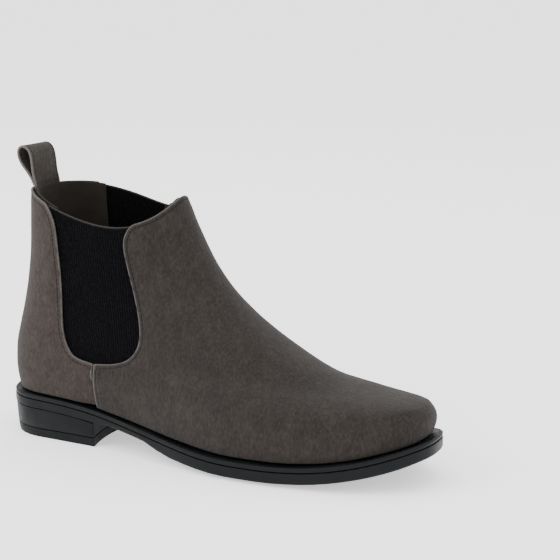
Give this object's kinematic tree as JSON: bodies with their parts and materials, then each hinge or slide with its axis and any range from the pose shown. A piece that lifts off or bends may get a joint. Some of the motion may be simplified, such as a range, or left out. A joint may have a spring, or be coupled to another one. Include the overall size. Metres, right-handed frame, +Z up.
{
  "type": "chelsea boot",
  "caption": "Men's ankle-high suede chelsea boot, right foot, with elastic side gores, a pull tab at the back, a rubber welt, a lugged sole and a stacked heel.",
  "frame": {"origin": "centre of the bounding box's footprint, on the ground under the boot", "axes": "+X to the toe, +Y to the medial (inner) side of the foot, +Z up"},
  "size_m": [0.3, 0.1016, 0.1901],
  "materials": {
    "suede": "napped matt suede",
    "elastic": "ribbed woven elastic",
    "lining": "matt textile",
    "stiffener": "matt",
    "rubber": "satin",
    "fibreboard": "pressed fibre, matt",
    "steel": "plain"
  },
  "bodies": {
    "boot": {"vamp": "suede", "quarter_lateral": "suede", "quarter_medial": "suede", "gore_lateral": "elastic", "gore_medial": "elastic", "vamp_lining": "lining", "quarter_lining": "lining", "toe_puff": "stiffener", "heel_counter": "stiffener", "topline_tape_front": "lining", "topline_tape_lateral": "lining", "topline_tape_medial": "lining", "pull_tab_root": "suede", "welt": "rubber", "outsole": "rubber", "heel_block": "rubber", "heel_top_lift": "rubber", "insole_board": "fibreboard", "bottom_filler": "fibreboard", "shank": "steel", "heel_nail_1": "steel", "heel_nail_2": "steel", "heel_nail_3": "steel", "heel_nail_4": "steel", "heel_nail_5": "steel", "sock_liner": "lining", "heel_pad": "lining"},
    "pull_tab": {"pull_tab": "suede"}
  },
  "joints": [
    {"name": "pull_tab_fold", "type": "hinge", "parent": "boot", "child": "pull_tab", "pos_m": [-0.13085, 0.00141, 0.16505], "axis": [0, 1, 0], "range_deg": [-60, 84], "stiffness_Nm_per_rad": 0.02}
  ]
}
